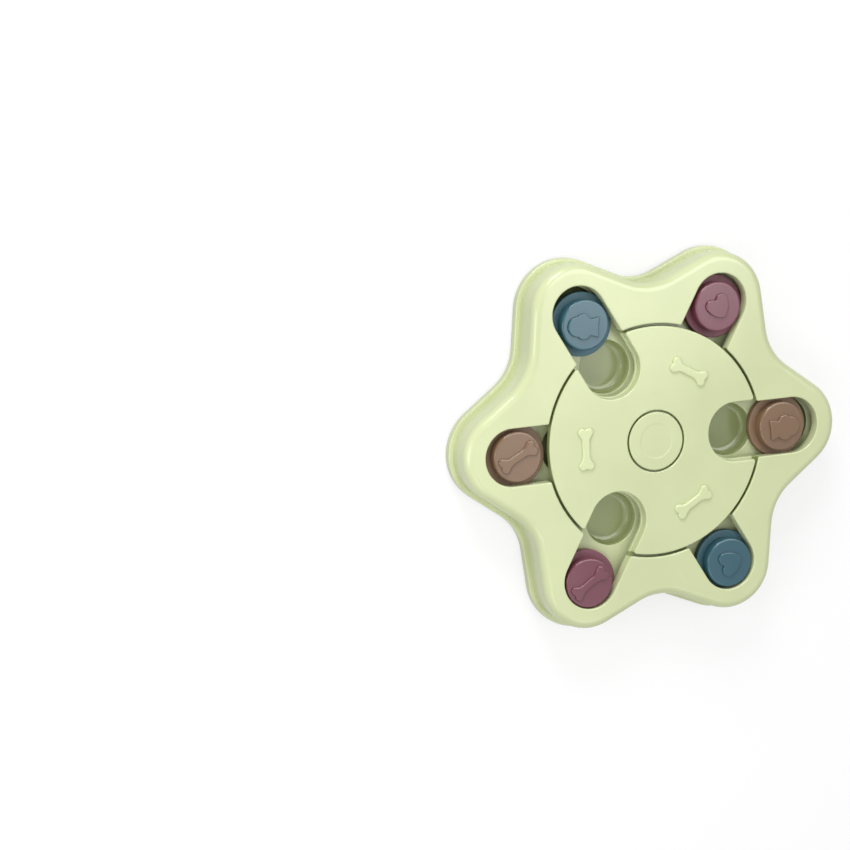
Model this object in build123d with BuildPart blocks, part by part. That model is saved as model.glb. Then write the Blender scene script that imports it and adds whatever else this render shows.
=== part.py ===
"""A star-shaped treat puzzle: six knobs slide in a cover, under a turning disc, over a tray of food cups.

Millimetres, +Z up. The origin lies on the table under the toy's centre, and the first arm points along +X.
At rest the three notches of the disc stand over the arms at 0, 120 and 240 degrees.
"""

import os
from math import cos, radians, sin, sqrt

from build123d import *

os.makedirs("parts", exist_ok=True)

# Fits
running_gap = 0.3
fit_gap = 0.4
pilot_gap = 0.05
overrun = 1.0

# Hub cap that the disc turns around, in a pocket of the disc
hub_pocket_radius = 19.1
hub_pocket_depth = 2.6
hub_gap = 1.2
hub_shank_radius = 10.0
hub_round = 0.7

# Tracks: each runs from an inner cup near the hub to an outer cup in the arm
arm_count = 6
slot_half_width = 17.5
hub_margin = 17.6
cup_inset = 1.0
cup_web = 6.6

# Sliders: a knob in the slot on a flange that is wider than the slot
knob_gap = 2.2
flange_lap = 2.1
flange_thickness = 4.4
flange_round = 0.6
knob_drop = 0.6
knob_round = 1.2
park_length = 9.8

# Star outline of the cover: round arm tips, straight flanks and round valleys
arm_rim = 11.3
tip_shift = 1.6
flank_angle = 53.6
valley_radius = 34.0

# Cover: a star shell with a round well for the disc and a slot in each arm
cover_wall = 2.4
cover_edge_radius = 5.2
well_depth = 5.0
deck_thickness = 2.0
collar_wall = 2.0
point_radius = 1.2
mouth_round = 0.8
deck_round = 0.5
foot_edge_round = 0.4

# Disc that opens three tracks at a time
notch_count = 3
notch_margin = 1.0
disc_gap = 1.7
disc_round = 0.8
notch_point_radius = 1.6

# Tray under the cover
ledge_width = 2.6
ledge_height = 5.5
ledge_round = 0.8
tray_wall = 2.2
floor_thickness = 2.0
cup_clearance = 3.9
cup_depth = 9.5
cup_wall = 1.6
cup_rim_round = 0.4
cup_floor_round = 3.5
rib_thickness = 1.6

# Screws from beneath: one into the hub cap and one into each post of the cover
post_radius = 4.0
boss_wall = 1.7
boss_length = 6.0
seat_thickness = 3.0
cover_screw_radius = 1.5
cover_screw_head_radius = 2.9
hub_screw_radius = 2.0
hub_screw_head_radius = 4.0
screw_head_height = 2.0
screw_length = 10.0
pilot_spare = 1.0
drive_sides = 6
drive_radius = 1.1
drive_depth = 1.0

# Rubber feet in sockets under the outer cups
foot_height = 2.0
foot_radius = 7.0
foot_seat_depth = 1.5
foot_socket_wall = 1.8
foot_round = 0.8

# Raised figures on the disc and the sliders
figure_height = 1.4
figure_round = 0.7
bone_inset = 23.5
bone_margin = 2.3
bone_width = 10.2
bone_waist = 5.0
bone_lobe_radius = 2.8
bone_neck_radius = 7.0
bone_dent_radius = 1.2
bone_round = 1.1
fish_margin = 4.8
fish_corner_radius = 0.8
heart_margin = 7.5
heart_tip_radius = 2.0
heart_cleft_radius = 0.8

# Outlines of the heart and the fish, as shares of the heart's width and the fish's length
heart_cleft_share = -0.24
heart_lobe_shares = (-0.42, 0.26)
heart_side_shares = (-0.12, 0.50)
heart_tip_share = 0.52
fish_fin_shares = ((-0.057, 0.29), (0.095, 0.338), (0.229, 0.271))
fish_tail_shares = ((-0.143, 0.167), (-0.438, 0.219), (-0.39, -0.048), (-0.376, -0.40), (-0.119, -0.31))
fish_nose_shares = (0.56, 0.015)
fish_belly_shares = ((-0.067, -0.371), (0.086, -0.419), (0.271, -0.324))

# Heights above the table
base_z = foot_height
seam_z = base_z + ledge_height
cup_under = base_z + cup_clearance
cup_floor = cup_under + cup_wall
track_z = cup_floor + cup_depth
floor_under = track_z - floor_thickness
boss_under = floor_under - boss_length
seat_z = track_z - seat_thickness
slider_bottom = track_z + running_gap
deck_bottom = slider_bottom + flange_thickness + running_gap
deck_top = deck_bottom + deck_thickness
disc_bottom = deck_top + running_gap
cover_top = deck_top + well_depth
cover_height = cover_top - seam_z
ceiling_z = cover_top - cover_wall
knob_top = cover_top - knob_drop
hub_pocket_floor = cover_top - hub_pocket_depth
hub_head_under = hub_pocket_floor + running_gap

# Reaches from the centre, from the hub outwards
hub_radius = hub_pocket_radius - hub_gap
slot_width = 2 * slot_half_width
cup_radius = slot_half_width - cup_inset
inner_reach = hub_pocket_radius + hub_margin + slot_half_width
outer_reach = inner_reach + 2 * cup_radius + cup_web
track_middle = (inner_reach + outer_reach) / 2
track_length = outer_reach - inner_reach
knob_radius = slot_half_width - knob_gap
flange_radius = slot_half_width + flange_lap

# A knob parks between the slot's end, at its far reach, and the disc's rim, at its near reach
far_reach = outer_reach + slot_half_width - knob_radius - running_gap
near_reach = far_reach - park_length
disc_radius = near_reach - knob_radius - running_gap
well_radius = disc_radius + disc_gap

# The star's arcs, and the screws midway between the well's wall and the wall of a valley
arm_step = 360 / arm_count
notch_step = 360 / notch_count
half_turn = 180
tip_centre = outer_reach + tip_shift
tip_radius = slot_half_width + arm_rim
flank_reach = tip_centre * cos(radians(flank_angle)) + tip_radius
valley_slant = cos(radians(flank_angle - arm_step / 2))
valley_centre = (flank_reach + valley_radius) / valley_slant
valley_reach = valley_centre - valley_radius
tray_inset = cover_wall + fit_gap
screw_reach = (well_radius + collar_wall + valley_reach - cover_wall) / 2

# Sizes of the figures
disc_bone_reach = disc_radius - bone_inset
bone_length = 2 * (knob_radius - bone_margin)
fish_length = 2 * (knob_radius - fish_margin)
heart_width = 2 * (knob_radius - heart_margin)


def polar(reach, angle):
    """The point at a reach from the origin, in the direction of an angle in degrees."""
    return (reach * cos(radians(angle)), reach * sin(radians(angle)))


def reach_of(edge):
    """How far the middle of an edge lies from the Z axis."""
    middle = edge @ 0.5
    return Vector(middle.X, middle.Y).length


def star_face(grow):
    """The star outline in the current sketch, moved outwards all round by grow."""
    with BuildLine() as outline:
        for arm in range(arm_count):
            turn = arm * arm_step
            tip = CenterArc(polar(tip_centre, turn), tip_radius + grow, turn - flank_angle, 2 * flank_angle)
            valley = CenterArc(
                polar(valley_centre, turn + arm_step / 2),
                valley_radius - grow,
                turn + flank_angle + half_turn,
                arm_step - 2 * flank_angle,
            )
            next_start = tip.rotate(Axis.Z, arm_step) @ 0
            Line(tip @ 1, valley @ 0)
            Line(valley @ 1, next_start)
    make_face(outline.edges())


def track_slots(count, grow, mode=Mode.ADD):
    """Radial slots along the tracks in the current sketch, widened on each side by grow."""
    with PolarLocations(track_middle, count):
        SlotCenterToCenter(track_length, slot_width + 2 * grow, mode=mode)


def outline_points(size, shares):
    """Points of an outline from their shares of its size."""
    return [(size * x_share, size * y_share) for x_share, y_share in shares]


# A bone along X: a straight shaft, and two lobes at each end with smooth necks
lobe = Vector(bone_length / 2 - bone_lobe_radius, bone_width / 2 - bone_lobe_radius)
neck_rise = bone_waist / 2 + bone_neck_radius
neck_run = sqrt((bone_lobe_radius + bone_neck_radius) ** 2 - (neck_rise - lobe.Y) ** 2)
neck_centre = Vector(lobe.X - neck_run, neck_rise)
dent_centre = Vector(lobe.X + sqrt((bone_dent_radius + bone_lobe_radius) ** 2 - lobe.Y**2), 0)
shaft_end = (neck_centre.X, bone_waist / 2)
neck = lobe + (neck_centre - lobe).normalized() * bone_lobe_radius
lobe_end = lobe + (dent_centre - lobe).normalized() * bone_lobe_radius
lobe_corner = lobe + Vector(1, 1).normalized() * bone_lobe_radius
with BuildSketch() as bone:
    with BuildLine():
        Line((0, bone_waist / 2), shaft_end)
        TangentArc(shaft_end, neck, tangent=(1, 0))
        ThreePointArc(neck, lobe_corner, lobe_end)
        TangentArc((dent_centre.X - bone_dent_radius, 0), lobe_end, tangent=(0, 1))
        mirror(about=Plane.XZ)
        mirror(about=Plane.YZ)
    make_face()

# A heart with its tip towards +X
heart_shares = ((heart_cleft_share, 0), heart_lobe_shares, heart_side_shares, (heart_tip_share, 0))
heart_cleft, heart_lobe, heart_side, heart_tip = outline_points(heart_width, heart_shares)
with BuildSketch() as heart:
    with BuildLine():
        heart_lobe_arc = ThreePointArc(heart_cleft, heart_lobe, heart_side)
        TangentArc(heart_side, heart_tip, tangent=heart_lobe_arc % 1)
        mirror(about=Plane.XZ)
    make_face()
    fillet(heart.vertices().sort_by(Axis.X)[-1], radius=heart_tip_radius)
    fillet(heart.vertices().sort_by_distance(heart_cleft)[0], radius=heart_cleft_radius)

# A fish with its nose towards +X and its back towards +Y, and its mirror image
fish_fin = outline_points(fish_length, fish_fin_shares)
fish_tail = outline_points(fish_length, fish_tail_shares)
fish_belly = outline_points(fish_length, fish_belly_shares)
fish_nose = outline_points(fish_length, [fish_nose_shares])
with BuildSketch() as fish:
    with BuildLine():
        ThreePointArc(*fish_fin)
        Polyline(fish_fin[0], *fish_tail, fish_belly[0])
        ThreePointArc(*fish_belly)
        ThreePointArc(fish_belly[-1], *fish_nose, fish_fin[-1])
    make_face()
    fillet(fish.vertices(), radius=fish_corner_radius)
with BuildSketch() as left_fish:
    mirror(fish.sketch, about=Plane.YZ)

# Deck at the bottom of the cover's well, moulded in one piece with the cover
with BuildPart() as deck:
    with BuildSketch(Plane.XY.offset(deck_bottom)):
        Circle(well_radius + collar_wall / 2)
        track_slots(arm_count, 0, Mode.SUBTRACT)
        Circle(hub_shank_radius + fit_gap, mode=Mode.SUBTRACT)
    extrude(amount=deck_thickness)
    deck_edges = deck.faces().sort_by(Axis.Z)[-1].edges()
    fillet(deck_edges.filter_by(lambda edge: hub_radius < reach_of(edge) < disc_radius), radius=deck_round)

# Top cover
with BuildPart() as cover:
    with BuildSketch(Plane.XY.offset(seam_z)):
        star_face(0)
    extrude(amount=cover_height)
    fillet(cover.faces().sort_by(Axis.Z)[-1].edges(), radius=cover_edge_radius)
    fillet(cover.faces().sort_by(Axis.Z)[0].edges(), radius=foot_edge_round)
    with BuildSketch(Plane.XY.offset(seam_z)):
        star_face(-cover_wall)
    extrude(amount=cover_height - cover_wall, mode=Mode.SUBTRACT)
    ceiling_edges = cover.edges().filter_by_position(Axis.Z, ceiling_z - fit_gap, ceiling_z + fit_gap)
    fillet(ceiling_edges, radius=cover_edge_radius - cover_wall)
    # the well's wall, the collars of the slots and the screw posts
    with BuildSketch(Plane.XY.offset(deck_bottom)):
        Circle(well_radius + collar_wall)
        track_slots(arm_count, collar_wall)
    extrude(amount=ceiling_z - deck_bottom)
    with BuildSketch(Plane.XY.offset(track_z)):
        with PolarLocations(screw_reach, arm_count, start_angle=arm_step / 2):
            Circle(post_radius)
    extrude(amount=ceiling_z - track_z)
    # the well and the slots open through, with rounded points between them, and the deck across the well
    with BuildSketch(Plane.XY.offset(deck_bottom - overrun)) as mouth:
        Circle(well_radius)
        track_slots(arm_count, 0)
        points = mouth.vertices().filter_by(lambda point: abs(Vector(*point).length - well_radius) < fit_gap)
        fillet(points, radius=point_radius)
    extrude(amount=well_depth + deck_thickness + 2 * overrun, mode=Mode.SUBTRACT)
    fillet(cover.faces().sort_by(Axis.Z)[-1].inner_wires()[0].edges(), radius=mouth_round)
    add(deck.part)
    with BuildSketch(Plane.XY.offset(track_z - overrun)):
        with PolarLocations(screw_reach, arm_count, start_angle=arm_step / 2):
            Circle(cover_screw_radius + pilot_gap)
    extrude(amount=overrun + screw_length - seat_thickness + pilot_spare, mode=Mode.SUBTRACT)
cover.part.label = "top_cover"
export_step(cover.part, "parts/top_cover.step")

# Base tray
with BuildPart() as tray:
    with BuildSketch(Plane.XY.offset(base_z)):
        star_face(ledge_width)
    extrude(amount=ledge_height)
    fillet(tray.faces().sort_by(Axis.Z)[-1].edges(), radius=ledge_round)
    with BuildSketch(Plane.XY.offset(base_z)):
        star_face(-tray_inset)
    extrude(amount=track_z - base_z)
    # hollow beneath: under the ledge, then under the floor
    with BuildSketch(Plane.XY.offset(base_z)):
        star_face(ledge_width - tray_wall)
    extrude(amount=ledge_height - tray_wall, mode=Mode.SUBTRACT)
    with BuildSketch(Plane.XY.offset(base_z)):
        star_face(-tray_inset - tray_wall)
    extrude(amount=floor_under - base_z, mode=Mode.SUBTRACT)
    # cup shells, foot sockets, screw bosses and the ribs between them
    with BuildSketch(Plane.XY.offset(cup_under)):
        for reach in (inner_reach, outer_reach):
            with PolarLocations(reach, arm_count):
                Circle(cup_radius + cup_wall)
    extrude(amount=floor_under - cup_under)
    with BuildSketch(Plane.XY.offset(base_z)):
        with PolarLocations(outer_reach, arm_count):
            Circle(foot_radius + foot_socket_wall)
    extrude(amount=cup_under - base_z)
    with BuildSketch(Plane.XY.offset(boss_under)):
        Circle(hub_screw_head_radius + fit_gap + boss_wall)
        with PolarLocations(screw_reach, arm_count, start_angle=arm_step / 2):
            Circle(cover_screw_head_radius + fit_gap + boss_wall)
        rib_length = valley_reach - tray_inset - tray_wall / 2
        with PolarLocations(rib_length / 2, arm_count, start_angle=arm_step / 2):
            Rectangle(rib_length, rib_thickness)
    extrude(amount=boss_length)
    # food cups
    with BuildSketch(Plane.XY.offset(cup_floor)):
        for reach in (inner_reach, outer_reach):
            with PolarLocations(reach, arm_count):
                Circle(cup_radius)
    extrude(amount=cup_depth + overrun, mode=Mode.SUBTRACT)
    cup_walls = tray.faces().filter_by(GeomType.CYLINDER).filter_by(
        lambda face: abs(face.radius - cup_radius) < pilot_gap
    )
    fillet(cup_walls.edges().filter_by(GeomType.CIRCLE).group_by(Axis.Z)[0], radius=cup_floor_round)
    cup_rims = tray.faces().sort_by(Axis.Z)[-1].inner_wires()
    fillet(cup_rims.edges(), radius=cup_rim_round)
    # screw holes with seats for the heads, and seats for the feet
    with BuildSketch(Plane.XY.offset(boss_under - overrun)):
        Circle(hub_screw_head_radius + fit_gap)
        with PolarLocations(screw_reach, arm_count, start_angle=arm_step / 2):
            Circle(cover_screw_head_radius + fit_gap)
    extrude(amount=seat_z - boss_under + overrun, mode=Mode.SUBTRACT)
    with BuildSketch(Plane.XY.offset(seat_z - overrun)):
        Circle(hub_screw_radius + fit_gap)
        with PolarLocations(screw_reach, arm_count, start_angle=arm_step / 2):
            Circle(cover_screw_radius + fit_gap)
    extrude(amount=seat_thickness + 2 * overrun, mode=Mode.SUBTRACT)
    with BuildSketch(Plane.XY.offset(base_z - overrun)):
        with PolarLocations(outer_reach, arm_count):
            Circle(foot_radius + pilot_gap)
    extrude(amount=foot_seat_depth + overrun, mode=Mode.SUBTRACT)
tray.part.label = "base_tray"
export_step(tray.part, "parts/base_tray.step")

# Turning disc
with BuildPart() as disc:
    with BuildSketch(Plane.XY.offset(disc_bottom)) as disc_outline:
        Circle(disc_radius)
        track_slots(notch_count, notch_margin, Mode.SUBTRACT)
        points = disc_outline.vertices().filter_by(
            lambda point: abs(Vector(*point).length - disc_radius) < fit_gap
        )
        fillet(points, radius=notch_point_radius)
    extrude(amount=cover_top - disc_bottom)
    fillet(disc.faces().sort_by(Axis.Z)[-1].edges(), radius=disc_round)
    # pocket for the hub cap's head and a bore for its shank
    with BuildSketch(Plane.XY.offset(hub_pocket_floor)):
        Circle(hub_pocket_radius)
    extrude(amount=hub_pocket_depth + overrun, mode=Mode.SUBTRACT)
    fillet(disc.faces().sort_by(Axis.Z)[-1].inner_wires()[0].edges(), radius=hub_round)
    with BuildSketch(Plane.XY.offset(disc_bottom - overrun)):
        Circle(hub_shank_radius + fit_gap)
    extrude(amount=hub_pocket_floor - disc_bottom + 2 * overrun, mode=Mode.SUBTRACT)
    # a raised bone between each two notches
    with BuildSketch(Plane.XY.offset(cover_top)):
        with PolarLocations(disc_bone_reach, notch_count, start_angle=notch_step / 2):
            add(bone.sketch, rotation=half_turn / 2)
    extrude(amount=figure_height)
    fillet(disc.faces().group_by(Axis.Z)[-1].edges(), radius=bone_round)
disc.part.label = "turning_disc"
export_step(disc.part, "parts/turning_disc.step")

# Hub cap: a broad head over the disc on a shank that stands on the tray
with BuildPart() as hub:
    with BuildSketch(Plane.XY.offset(track_z)):
        Circle(hub_shank_radius)
    extrude(amount=hub_head_under - track_z)
    with BuildSketch(Plane.XY.offset(hub_head_under)):
        Circle(hub_radius)
    extrude(amount=cover_top - hub_head_under)
    fillet(hub.faces().sort_by(Axis.Z)[-1].edges(), radius=hub_round)
    with BuildSketch(Plane.XY.offset(track_z - overrun)):
        Circle(hub_screw_radius + pilot_gap)
    extrude(amount=overrun + screw_length - seat_thickness + pilot_spare, mode=Mode.SUBTRACT)
hub.part.label = "hub_cap"
export_step(hub.part, "parts/hub_cap.step")


def screw_solids(radius, head_radius, places):
    """Pan-head screws that point up from the seats in the tray, at the places given."""
    with BuildSketch(Plane.XY.offset(seat_z)) as shanks:
        with Locations(*places):
            Circle(radius)
    extrude(shanks.sketch, amount=screw_length)
    with BuildSketch(Plane.XY.offset(seat_z - screw_head_height)) as heads:
        with Locations(*places):
            Circle(head_radius)
    extrude(heads.sketch, amount=screw_head_height)
    with BuildSketch(Plane.XY.offset(seat_z - screw_head_height - overrun)) as drives:
        with Locations(*places):
            RegularPolygon(drive_radius, drive_sides)
    extrude(drives.sketch, amount=drive_depth + overrun, mode=Mode.SUBTRACT)


# Screws
with BuildPart() as hub_screw:
    screw_solids(hub_screw_radius, hub_screw_head_radius, [polar(0, 0)])
hub_screw.part.label = "hub_screw"
export_step(hub_screw.part, "parts/hub_screw.step")

with BuildPart() as cover_screws:
    screw_places = [polar(screw_reach, (arm + 0.5) * arm_step) for arm in range(arm_count)]
    screw_solids(cover_screw_radius, cover_screw_head_radius, screw_places)
cover_screws.part.label = "cover_screws"
export_step(cover_screws.part, "parts/cover_screws.step")

# Rubber feet
for arm in range(arm_count):
    foot_x, foot_y = polar(outer_reach, arm * arm_step)
    with BuildPart() as foot:
        with BuildSketch(Plane((foot_x, foot_y, 0))):
            Circle(foot_radius)
        extrude(amount=foot_height + foot_seat_depth)
        fillet(foot.faces().sort_by(Axis.Z)[0].edges(), radius=foot_round)
    foot.part.label = f"rubber_foot_{arm + 1}"
    export_step(foot.part, f"parts/{foot.part.label}.step")

# Sliders: name, raised figure, how far its top edge is rounded, its direction, and where the knob is parked
sliders = (
    ("slider_brown_fish", fish, figure_round, 0, 0.08),
    ("slider_mauve_heart", heart, figure_round, 297, 0.46),
    ("slider_blue_fish", left_fish, figure_round, 0, 0.06),
    ("slider_brown_bone", bone, bone_round, 27, 0.48),
    ("slider_mauve_bone", bone, bone_round, 33, 0.98),
    ("slider_blue_heart", heart, figure_round, 20, 0.90),
)
for arm, (slider_name, figure, figure_edge, figure_turn, park_share) in enumerate(sliders):
    rest_reach = near_reach + park_share * park_length
    knob_x, knob_y = polar(rest_reach, arm * arm_step)
    with BuildPart() as slider:
        with BuildSketch(Plane((knob_x, knob_y, slider_bottom))):
            Circle(flange_radius)
        extrude(amount=flange_thickness)
        fillet(slider.edges(), radius=flange_round)
        with BuildSketch(Plane((knob_x, knob_y, slider_bottom))):
            Circle(knob_radius)
        extrude(amount=knob_top - slider_bottom)
        fillet(slider.faces().sort_by(Axis.Z)[-1].edges(), radius=knob_round)
        with BuildSketch(Plane((knob_x, knob_y, knob_top))):
            add(figure.sketch, rotation=figure_turn)
        extrude(amount=figure_height)
        fillet(slider.faces().sort_by(Axis.Z)[-1].edges(), radius=figure_edge)
    slider.part.label = slider_name
    export_step(slider.part, f"parts/{slider_name}.step")
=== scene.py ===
# %% [markdown]
# # A star-shaped puzzle toy in satin plastic
# Six arms carry sliding knobs, a notched disc turns in the middle, and round cups hide below.
# The solids come ready made at their real size, in metres. This file gives them their finish, lights them
# as in a small product studio and looks at them from where the photograph was taken.

# %% Load the solids
import math

import bpy
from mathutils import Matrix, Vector

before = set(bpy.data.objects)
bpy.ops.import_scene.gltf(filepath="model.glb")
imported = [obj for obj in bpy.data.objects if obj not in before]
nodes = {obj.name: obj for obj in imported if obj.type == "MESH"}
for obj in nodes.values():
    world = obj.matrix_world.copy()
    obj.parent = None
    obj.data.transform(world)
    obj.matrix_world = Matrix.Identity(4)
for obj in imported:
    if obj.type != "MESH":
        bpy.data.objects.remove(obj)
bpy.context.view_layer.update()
bpy.ops.object.select_all(action="DESELECT")

# %% [markdown]
# ## Shader maths as plain Python
# A finish is a small network of nodes. Wiring them one by one hides the idea, so a `Signal` wraps a socket
# and lets ordinary arithmetic add the Math nodes.

# %% Signal


class Signal:
    """A shader socket that Python's operators can work on."""

    def __init__(self, graph, socket):
        self.graph = graph
        self.socket = socket

    def maths(self, operation, first, second):
        return self.graph.node("ShaderNodeMath", {"operation": operation}, {0: first, 1: second})

    def __add__(self, other):
        return self.maths("ADD", self, other)

    __radd__ = __add__

    def __sub__(self, other):
        return self.maths("SUBTRACT", self, other)

    def __rsub__(self, other):
        return self.maths("SUBTRACT", other, self)

    def __mul__(self, other):
        return self.maths("MULTIPLY", self, other)

    __rmul__ = __mul__

    def __abs__(self):
        return self.maths("ABSOLUTE", self, 0)

    def smaller(self, other):
        return self.maths("MINIMUM", self, other)

    def larger(self, other):
        return self.maths("MAXIMUM", self, other)

    def between(self, low, high):
        """0 below low, 1 above high, and a smooth rise between them."""
        settings = {"interpolation_type": "SMOOTHSTEP"}
        sockets = {"Value": self, "From Min": low, "From Max": high}
        return self.graph.node("ShaderNodeMapRange", settings, sockets)


print("arithmetic on sockets ready")

# %% [markdown]
# ## One way to add any other node
# `Graph.node` adds any kind of node: first its settings, then the values or links of its sockets. A `Finish`
# is the graph of one material. It starts from the Principled surface that Blender puts in a new material and
# from Object coordinates, so a pattern has its real size and stays on its piece when the piece moves.

# %% Graph and Finish


class Graph:
    """A node tree, with one method that adds a node and one that fills a socket."""

    def __init__(self, tree):
        self.tree = tree

    def node(self, kind, settings, inputs, output=0):
        made = self.tree.nodes.new(kind)
        for key, value in settings.items():
            setattr(made, key, value)
        for key, value in inputs.items():
            self.feed(made.inputs[key], value)
        return Signal(self, made.outputs[output])

    def feed(self, socket, value):
        if isinstance(value, Signal):
            self.tree.links.new(value.socket, socket)
        else:
            socket.default_value = value


class Finish(Graph):
    """A material with a Principled surface, and the textures that the finishes share."""

    def __init__(self, name):
        self.material = bpy.data.materials.new(name)
        self.material.use_nodes = True
        super().__init__(self.material.node_tree)
        self.surface = self.tree.nodes["Principled BSDF"]
        self.place = self.node("ShaderNodeTexCoord", {}, {}, "Object")

    def set(self, **values):
        for key, value in values.items():
            self.feed(self.surface.inputs[key.replace("_", " ")], value)

    def noise(self, size, detail, place=None):
        """Soft noise whose features are about as large as size, in metres."""
        sockets = {"Vector": place or self.place, "Scale": 1 / size, "Detail": detail}
        return self.node("ShaderNodeTexNoise", {}, sockets)

    def axis(self, letter):
        return self.node("ShaderNodeSeparateXYZ", {}, {0: self.place}, letter)

    def radius(self):
        """Distance from the toy's upright axis."""
        flat = self.node("ShaderNodeVectorMath", {"operation": "MULTIPLY"}, {0: self.place, 1: (1, 1, 0)})
        return self.node("ShaderNodeVectorMath", {"operation": "LENGTH"}, {0: flat}, "Value")

    def mix(self, factor, first, second):
        """A blend of two colours. A Mix node has its colours in sockets 6 and 7 and its blend in output 2."""
        return self.node("ShaderNodeMix", {"data_type": "RGBA"}, {0: factor, 6: first, 7: second}, 2)

    def bump(self, height, distance, strength, under=None):
        sockets = {"Height": height, "Distance": distance, "Strength": strength}
        if under:
            sockets["Normal"] = under
        return self.node("ShaderNodeBump", {}, sockets)


print("graphs and finishes ready")

# %% [markdown]
# ## Rub marks and painted shade in hollows
# Plastic that has been handled shows fine straight rubs. They could be painted, but a noise that is pulled
# long in one direction draws them everywhere at once, and a second noise keeps them in patches. Corners and
# cups get painted shade, so they turn darker than open faces. An Ambient Occlusion node finds them on any
# solid, so no mask has to be drawn for them.

# %% Rubs and painted hollow shade
RUB_LENGTH = 0.030
RUB_WIDTH = 0.0007
RUB_DETAIL = 1.0
RUB_LINES = (0.66, 0.74)
RUB_PATCHES = (0.52, 0.66)
HOLLOW_REACH = 0.04
HOLLOW_SAMPLES = 8
HOLLOW_EDGES = (0.3, 0.9)


def rubs(finish, turn):
    """Fine straight rub marks along one direction, in patches."""
    stretch = (RUB_WIDTH / RUB_LENGTH, 1.0, 1.0)
    sockets = {"Vector": finish.place, "Rotation": (0, 0, turn)}
    turned = finish.node("ShaderNodeMapping", {"vector_type": "TEXTURE"}, sockets)
    pulled = finish.node("ShaderNodeVectorMath", {"operation": "MULTIPLY"}, {0: turned, 1: stretch})
    lines = finish.noise(RUB_WIDTH, RUB_DETAIL, pulled).between(*RUB_LINES)
    patches = finish.noise(RUB_LENGTH, RUB_DETAIL).between(*RUB_PATCHES)
    return lines * patches


def painted_hollow_shade(finish):
    """Painted shade: 0 on open faces, rising towards 1 deep in the piece's own cups, grooves and corners."""
    settings = {"samples": HOLLOW_SAMPLES, "only_local": True}
    open_sky = finish.node("ShaderNodeAmbientOcclusion", settings, {"Distance": HOLLOW_REACH}, "AO")
    return (1 - open_sky).between(*HOLLOW_EDGES)


print("rubs and hollows ready")

# %% [markdown]
# ## Satin moulded plastic
# The shell is pigmented plastic out of a polished mould. Close up it isn't one flat colour: the pigment
# clouds a little, the skin is slightly wavy where the plastic shrank over its ribs, and handling leaves
# duller patches. A picture of plastic could show this, but a noise needs no unwrapping and stays sharp close
# up. Each of these is a noise of its own size, so one recipe serves every colour. In the hollows a painted
# shade turns the colour to a deeper tint of itself, the tint of light that has met the same plastic twice.

# %% Plastic recipe
# A noise has the size of its features in metres and its detail, and a bump its depth in metres and strength
CLOUD = (0.045, 3.0)
SMUDGE = (0.016, 4.0)
WAVE = (0.028, 1.0)
WAVE_BUMP = (0.0004, 0.35)
GRAIN = (0.00035, 1.0)
GRAIN_BUMP = (0.00002, 0.12)
SINK_BUMP = (0.00008, 1.0)
CLOUD_EDGES = (0.3, 0.7)
CLOUD_DARK = 0.965
CLOUD_LIGHT = 1.03
RUB_TURNS = (35, -62)
RUB_PALE = 0.03
# Painted highlight: the raised bones are made this much lighter than the plate
FIGURE_HIGHLIGHT = 1.06
# Strength of the painted shade tint in hollows, gaps and cups
PAINTED_SHADE_SCALE = 0.7
SATIN_ROUGHNESS = 0.13
SMUDGE_DULL = 0.10
RUB_DULL = 0.06
FLANGE_DULL = 0.35
PLASTIC_IOR = 1.5
WHITE = (1.0, 1.0, 1.0, 1.0)


def shade(colour, factor):
    """A colour made lighter or darker, with its alpha of one."""
    return tuple(channel * factor for channel in colour) + (1.0,)


def painted_shade_tint(colour):
    """Painted shade: the deeper tint of a colour whose light has met the same plastic twice."""
    return tuple(PAINTED_SHADE_SCALE * channel**2 for channel in colour) + (1.0,)


def satin_plastic(name, colour, shade_mask=None, sink=None, highlight_mask=None, dull=None, corner_shade=1.0):
    """One colour of plastic.

    Four masks, in this order, are functions of the finish: painted shade, the sink mark, a painted highlight
    and duller roughness. The last argument is the share of painted shade that the piece's hollows take.
    """
    finish = Finish(name)
    cloud = finish.noise(*CLOUD).between(*CLOUD_EDGES)
    first_rubs, second_rubs = (rubs(finish, math.radians(turn)) for turn in RUB_TURNS)
    marks = first_rubs + second_rubs
    pigment = finish.mix(cloud, shade(colour, CLOUD_DARK), shade(colour, CLOUD_LIGHT))
    rubs_and_highlight = finish.mix(marks * RUB_PALE, pigment, WHITE)
    # Painted highlight on the raised figures
    if highlight_mask:
        rubs_and_highlight = finish.mix(highlight_mask(finish), rubs_and_highlight, shade(colour, FIGURE_HIGHLIGHT))
    # Painted shade in the piece's own hollows, and in the gaps and cups that a mask adds
    shade_share = corner_shade * painted_hollow_shade(finish)
    if shade_mask:
        shade_share = shade_share.larger(shade_mask(finish))
    colour_with_painted_shade = finish.mix(shade_share, rubs_and_highlight, painted_shade_tint(colour))
    skin = finish.bump(finish.noise(*WAVE), *WAVE_BUMP)
    if sink:
        skin = finish.bump(sink(finish), *SINK_BUMP, under=skin)
    skin = finish.bump(finish.noise(*GRAIN), *GRAIN_BUMP, under=skin)
    roughness = SATIN_ROUGHNESS + SMUDGE_DULL * finish.noise(*SMUDGE) + RUB_DULL * marks
    if dull:
        roughness = roughness + FLANGE_DULL * dull(finish)
    finish.set(Base_Color=colour_with_painted_shade, Roughness=roughness, Normal=skin, IOR=PLASTIC_IOR)
    return finish


print("plastic recipe ready")

# %% [markdown]
# ## Painted shade, painted highlight and duller places
# The plain recipe leaves some places too light, too dark or too shiny beside the photograph. So the rings
# round the hub cap and the disc and the cups get more painted shade, the raised bones get a painted
# highlight, and the sliders' flanges get duller. These are choices for likeness. The hub cap's faint round
# mark is a sink mark, as plastic leaves where it shrinks over a post. Such places are easy to say in numbers,
# as a radius, a height or a distance from an arm's middle line, so each one is a mask on Object coordinates.
# The tops and rims that they start from are measured on the solids.

# %% Masks
SOFT = 0.0004


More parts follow.
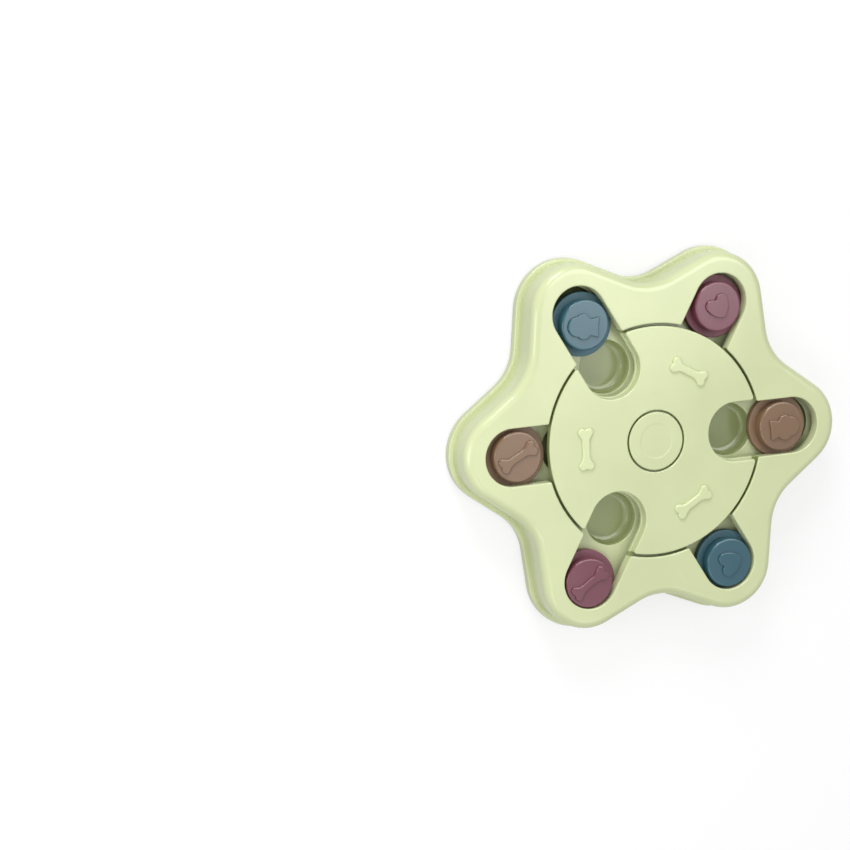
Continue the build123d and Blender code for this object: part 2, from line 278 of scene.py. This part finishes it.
def reach(name, letter):
    """How far a solid reaches along one of the axes X, Y and Z."""
    axis = "XYZ".index(letter)
    return max(corner[axis] for corner in nodes[name].bound_box)


def below(value, high):
    """1 where a value lies below high, with a soft end."""
    return 1 - value.between(high, high + SOFT)


def inside(value, low, high):
    """1 where a value lies between low and high, with soft ends."""
    return value.between(low - SOFT, low) * below(value, high)


COVER_TOP = reach("top_cover", "Z")
TRAY_TOP = reach("base_tray", "Z")
print("cover top:", round(COVER_TOP, 4), "tray top:", round(TRAY_TOP, 4))

# %% Masks of the cover, disc and hub cap
RING_DROP = 0.0011
RING_TOP = COVER_TOP - RING_DROP
RING_LAPS = {"hub_cap": (0.0002, 0.0014), "turning_disc": (0.0004, 0.0020)}
# Strength of the painted shade in the gaps round the hub cap and the disc
GAP_SHADE_STRENGTH = 0.95
SINK_RADIUS = 0.0105
SINK_EDGE = 0.0008
FIGURE_MARGIN = 0.0002
FIGURES_FROM = COVER_TOP + FIGURE_MARGIN


def painted_gap_shade(finish):
    """Painted shade in the gaps round the hub cap and the disc, from a little inside each rim to a little
    past the gap.
    """
    hub_ring, disc_ring = (
        inside(finish.radius(), reach(name, "Y") - inward, reach(name, "Y") + outward)
        for name, (inward, outward) in RING_LAPS.items()
    )
    return GAP_SHADE_STRENGTH * below(finish.axis("Z"), RING_TOP) * (hub_ring + disc_ring)


def sink_mark(finish):
    """0 inside the round mark and 1 outside it, so that a bump lowers its middle."""
    return finish.radius().between(SINK_RADIUS - SINK_EDGE, SINK_RADIUS + SINK_EDGE)


def painted_figure_highlight(finish):
    """Painted highlight: 1 on the bones, which rise above the plate of the disc."""
    return finish.axis("Z").between(FIGURES_FROM, FIGURES_FROM + SOFT)


print("rings up to", round(RING_TOP, 4), "figures from", round(FIGURES_FROM, 4))

# %% Masks of the tray and the sliders
CUP_RADIUS = 0.0165
CUPS_REACH = 0.1112
CUP_FLOOR_DROP = 0.0098
CUP_RIM_DROP = 0.0004
CUP_HEIGHTS = (TRAY_TOP - CUP_FLOOR_DROP, TRAY_TOP - CUP_RIM_DROP)
# Strength of the painted shade in the cups
CUP_SHADE_STRENGTH = 0.55
FLANGE_TOP = 0.0218
ARM_STEP = math.pi / 3


def painted_cup_shade(finish):
    """Painted shade in the cups, which lie along the three middle lines that the six arms share."""
    x, y = finish.axis("X"), finish.axis("Y")
    first, second, third = (
        abs(y * math.cos(line * ARM_STEP) - x * math.sin(line * ARM_STEP)) for line in range(3)
    )
    off_line = first.smaller(second).smaller(third)
    on_arm = below(off_line, CUP_RADIUS) * below(finish.radius(), CUPS_REACH)
    return CUP_SHADE_STRENGTH * on_arm * inside(finish.axis("Z"), *CUP_HEIGHTS)


def under_deck(finish):
    """1 on a slider's flange, which runs under the deck."""
    return below(finish.axis("Z"), FLANGE_TOP)


print("cups between", [round(height, 4) for height in CUP_HEIGHTS])

# %% [markdown]
# ## Five plastics
# The cover, the disc and the hub cap are one green. The tray is the same green with its own mask of painted
# shade for the cups. The knobs come in three dark colours, which need less painted shade in their corners,
# because a dark colour turns almost black when it is squared.

# %% Plastics
# Base colours in linear light
GREEN = (0.560, 0.612, 0.350)
BROWN = (0.187, 0.110, 0.062)
MAUVE = (0.152, 0.041, 0.062)
BLUE = (0.027, 0.095, 0.126)
# Share of painted shade in the knobs' corners
KNOB_CORNER_SHADE = 0.4

# The green gets painted shade in its ring gaps and a painted highlight on its bones, the tray painted shade
# in its cups
green = satin_plastic("green_satin_plastic", GREEN, painted_gap_shade, sink_mark, painted_figure_highlight)
tray_green = satin_plastic("green_tray_plastic", GREEN, painted_cup_shade)
brown = satin_plastic("brown_satin_plastic", BROWN, dull=under_deck, corner_shade=KNOB_CORNER_SHADE)
mauve = satin_plastic("mauve_satin_plastic", MAUVE, dull=under_deck, corner_shade=KNOB_CORNER_SHADE)
blue = satin_plastic("blue_satin_plastic", BLUE, dull=under_deck, corner_shade=KNOB_CORNER_SHADE)
print("plastics:", [finish.material.name for finish in (green, tray_green, brown, mauve, blue)])

# %% [markdown]
# ## Rubber and steel underneath
# The feet are soft grey rubber, dull and slightly dusty. The screws are zinc plated, with a fine mottle from
# the plating. Both show only from below, so a noise or two for colour, roughness and bump are enough.

# %% Rubber
RUBBER_DUST = (0.004, 5.0)
RUBBER_GRAIN = (0.0006, 2.0)
RUBBER_BUMP = (0.0001, 0.4)
RUBBER_DARK = (0.30, 0.30, 0.29, 1.0)
RUBBER_PALE = (0.40, 0.40, 0.38, 1.0)
RUBBER_ROUGHNESS = 0.70
DUST_DULL = 0.2

rubber = Finish("foot_rubber")
dust = rubber.noise(*RUBBER_DUST)
rubber.set(Base_Color=rubber.mix(dust, RUBBER_DARK, RUBBER_PALE))
rubber.set(Roughness=RUBBER_ROUGHNESS + DUST_DULL * dust)
rubber.set(Normal=rubber.bump(rubber.noise(*RUBBER_GRAIN), *RUBBER_BUMP))
print("rubber:", rubber.material.name)

# %% Steel
PLATING = (0.0012, 4.0)
PLATING_BUMP = (0.00005, 0.3)
STEEL_DARK = (0.50, 0.50, 0.50, 1.0)
STEEL_PALE = (0.66, 0.66, 0.67, 1.0)
STEEL_ROUGHNESS = 0.25
PLATING_DULL = 0.25

steel = Finish("screw_steel")
plating = steel.noise(*PLATING)
steel.set(Base_Color=steel.mix(plating, STEEL_DARK, STEEL_PALE), Metallic=1.0)
steel.set(Roughness=STEEL_ROUGHNESS + PLATING_DULL * plating)
steel.set(Normal=steel.bump(plating, *PLATING_BUMP))
print("steel:", steel.material.name)

# %% [markdown]
# ## Dress every node
# A node's name says what it is made of. The nodes could be dressed one by one, but with a short list of words
# to choose the finish, one more foot or knob would dress itself. The solids keep their own meshes, and only
# their material slots change.

# %% Assign the finishes
FINISH_OF = (
    ("brown", brown),
    ("mauve", mauve),
    ("blue", blue),
    ("foot", rubber),
    ("screw", steel),
    ("tray", tray_green),
    ("", green),
)
for name, solid in nodes.items():
    finish = next(finish for word, finish in FINISH_OF if word in name)
    solid.data.materials.clear()
    solid.data.materials.append(finish.material)
    print(name, "gets", finish.material.name)

# %% [markdown]
# ## The floor
# The toy lies on a white sweep. A large plane stands for it, because its bend is out of sight. A camera that
# is set for the plastic would show a white plane a little grey, so the floor glows for the rays that see it
# directly. The part of it that still takes light keeps the soft shadow round the rim. For the rays that only
# carry light the floor is grey, so that it doesn't brighten the toy's walls from below.

# %% Floor
FLOOR_SIZE = 8.0
FLOOR_GLOW = 0.66
FLOOR_GREY = (0.15, 0.15, 0.15, 1.0)
FLOOR_WHITE = (0.95, 0.95, 0.95, 1.0)
FLOOR_ROUGHNESS = 0.8


def seen_directly(graph):
    """1 for rays from the camera, also by way of a mirror or glass, and 0 for rays that only carry light."""
    straight, mirrored, through = (
        graph.node("ShaderNodeLightPath", {}, {}, f"Is {kind} Ray")
        for kind in ("Camera", "Glossy", "Transmission")
    )
    return straight.larger(mirrored).larger(through)


bpy.ops.mesh.primitive_plane_add(size=FLOOR_SIZE)
floor = bpy.context.object
floor.name = "studio_floor"

sweep = Finish("white_sweep")
seen = seen_directly(sweep)
sweep.set(Base_Color=sweep.mix(seen, FLOOR_GREY, FLOOR_WHITE), Roughness=FLOOR_ROUGHNESS)
glow = sweep.node("ShaderNodeEmission", {}, {"Strength": 1.0})
lit = Signal(sweep, sweep.surface.outputs[0])
blend = sweep.node("ShaderNodeMixShader", {}, {0: seen * FLOOR_GLOW, 1: lit, 2: glow})
sweep.feed(sweep.tree.nodes["Material Output"].inputs["Surface"], blend)
floor.data.materials.append(sweep.material)
print("floor:", FLOOR_SIZE, "m")

# %% [markdown]
# ## Studio lamps
# The photograph's light looks like that of a white tent. A panorama of a studio could give it too, but lamps
# can be moved one by one. Two low cards, one beyond the toy and one at its left, brighten the walls that face
# them and pick out the raised figures, and a box in front lifts the near side. The sheen on the flat tops is
# the mirror image of a white panel that hangs beyond the toy, and three panels of growing size give it a soft
# border. Two smaller ones add a weaker sheen to the front and the left. Only reflections see these five.

# %% Soft boxes
# Each lamp has its name, its place and side in metres, and its radiance
LAMPS = (
    ("far_card", (-0.23, 0.85, 0.47), 0.40, 10.5),
    ("left_card", (-0.47, 0.00, 0.30), 0.25, 3.8),
    ("near_box", (-0.25, -0.45, 0.75), 0.30, 2.8),
)
SHEENS = (
    ("sheen_panel", (0.37, 0.41, 0.83), 0.70, 2.0),
    ("sheen_rim", (0.36, 0.34, 0.83), 0.78, 1.5),
    ("sheen_haze", (0.40, 0.36, 0.83), 0.84, 1.2),
    ("front_sheen", (0.27, -0.53, 0.95), 0.30, 1.9),
    ("left_sheen", (0.17, -0.16, 0.83), 0.26, 1.1),
)


def soft_box(name, place, side, radiance):
    """A square lamp that faces the toy. A lamp's power is its radiance times pi times its area."""
    turn = Vector(place).to_track_quat("Z", "Y").to_euler()
    bpy.ops.object.light_add(type="AREA", location=place, rotation=turn)
    lamp = bpy.context.object
    lamp.name = name
    lamp.data.shape = "SQUARE"
    lamp.data.size = side
    lamp.data.energy = radiance * math.pi * side**2
    print(name, "power:", round(lamp.data.energy, 2), "W")
    return lamp


for lamp in LAMPS:
    soft_box(*lamp)
for sheen in SHEENS:
    soft_box(*sheen).visible_diffuse = False

# %% [markdown]
# ## The room
# Most of the light in a tent is even and comes from everywhere. The world's background gives this fill, and
# it shows its full white only to the rays that see it directly.

# %% Room
ROOM_FILL = 0.72

room = bpy.data.worlds.new("white_room")
room.use_nodes = True
bpy.context.scene.world = room
walls = Graph(room.node_tree)
background = room.node_tree.nodes["Background"]
walls.feed(background.inputs["Color"], WHITE)
walls.feed(background.inputs["Strength"], ROOM_FILL + (1 - ROOM_FILL) * seen_directly(walls))
print("room fill:", ROOM_FILL)

# %% [markdown]
# ## Camera
# The photograph looks down steeply with a long lens and is rolled so that one arm points to the right of
# the picture. The toy stands right of the middle, as it does there. A camera can be set by eye, but this
# place, turn and lens were fitted to points of the toy, so that render and photograph can be laid together.

# %% Camera
CAMERA_PLACE = (-0.5519, 0.2251, 1.1867)
CAMERA_TURN = (-8.135, -19.697, -3.309)
CAMERA_LENS = 90.09
SENSOR_WIDTH = 36.0

bpy.ops.object.camera_add(location=CAMERA_PLACE, rotation=[math.radians(angle) for angle in CAMERA_TURN])
camera = bpy.context.object
camera.name = "photo_camera"
camera.data.lens = CAMERA_LENS
camera.data.sensor_width = SENSOR_WIDTH
bpy.context.scene.camera = camera
bpy.context.scene.view_settings.view_transform = "Standard"
print("camera lens:", CAMERA_LENS, "mm")
